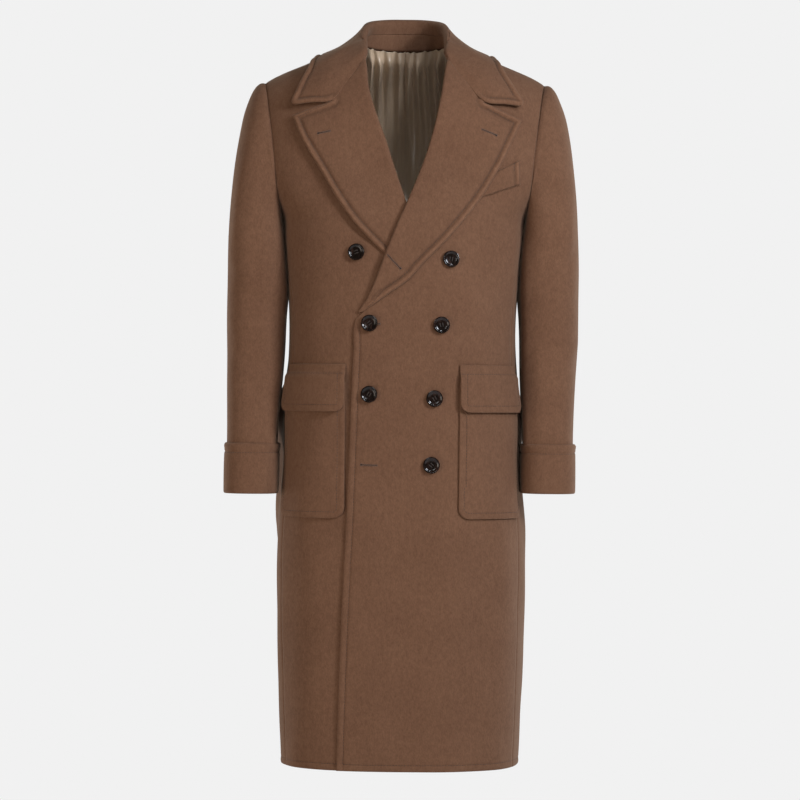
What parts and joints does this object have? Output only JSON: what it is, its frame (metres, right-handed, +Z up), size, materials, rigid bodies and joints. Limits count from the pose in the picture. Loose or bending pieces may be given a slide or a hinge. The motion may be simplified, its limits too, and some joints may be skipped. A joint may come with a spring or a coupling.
{
  "type": "double-breasted overcoat",
  "caption": "Long double-breasted wool overcoat with wide peaked lapels, flapped patch pockets and turn-back cuffs, filled out as worn.",
  "frame": {"origin": "between the shoulders, level with the back neck seam, where the wearer's neck and shoulders hold the coat", "axes": "+Z up along the wearer's back, +X to the wearer's left, -Y to the coat's front"},
  "size_m": [0.5774, 0.306, 1.2249],
  "materials": {
    "cloth": "brushed wool with a short nap",
    "lining": "satin",
    "button": "polished horn"
  },
  "bodies": {
    "root": {"left_front": "cloth", "back_left": "cloth", "left_sleeve": "cloth", "left_cuff": "cloth", "left_lapel": "cloth", "left_pocket": "cloth", "left_flap": "cloth", "right_front": "cloth", "back_right": "cloth", "right_sleeve": "cloth", "right_cuff": "cloth", "right_lapel": "cloth", "right_pocket": "cloth", "right_flap": "cloth", "chest_welt": "cloth", "collar": "cloth", "collar_stand": "cloth", "lining_left": "lining", "lining_right": "lining", "button_1": "button", "button_2": "button", "button_3": "button", "button_4": "button", "button_5": "button", "button_6": "button", "button_7": "button"}
  },
  "joints": []
}
